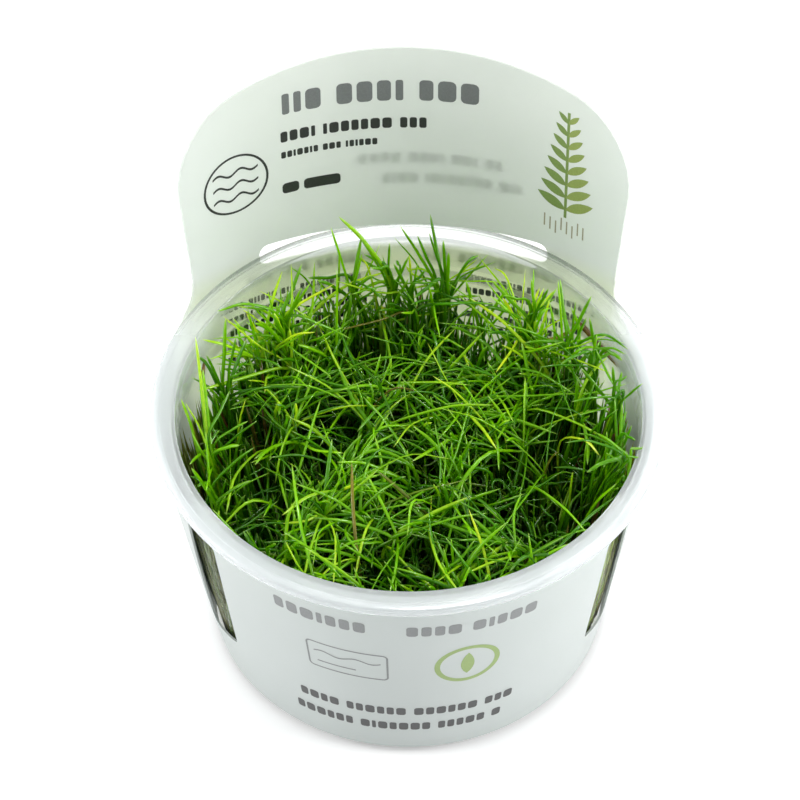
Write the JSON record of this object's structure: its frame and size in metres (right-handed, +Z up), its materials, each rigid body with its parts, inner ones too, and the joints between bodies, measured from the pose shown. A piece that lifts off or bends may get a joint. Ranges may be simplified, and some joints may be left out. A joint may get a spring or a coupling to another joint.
{
  "type": "potted aquarium plant",
  "caption": "Dwarf hairgrass growing in gel in a flanged clear plastic cup, with a white printed sleeve that rises behind it as an arched panel.",
  "frame": {"origin": "middle of the cup's underside, which stands on the table", "axes": "+Z up; the front, where the sleeve is low, faces -Y; the tall panel stands at +Y"},
  "size_m": [0.1, 0.102, 0.1047],
  "materials": {
    "clear_plastic": "polished",
    "white_sheet": "satin",
    "gel": "polished",
    "grass": "satin"
  },
  "bodies": {
    "root": {"cup": "clear_plastic", "growth_medium": "gel", "sleeve": "white_sheet", "tuft_01": "grass", "tuft_02": "grass", "tuft_03": "grass", "tuft_04": "grass", "tuft_05": "grass", "tuft_06": "grass", "tuft_07": "grass", "tuft_08": "grass", "tuft_09": "grass", "tuft_10": "grass", "tuft_11": "grass", "tuft_12": "grass", "tuft_13": "grass", "tuft_14": "grass", "tuft_15": "grass", "tuft_16": "grass", "tuft_17": "grass", "tuft_18": "grass", "tuft_19": "grass", "tuft_20": "grass", "tuft_21": "grass", "tuft_22": "grass", "tuft_23": "grass", "tuft_24": "grass"}
  },
  "joints": []
}
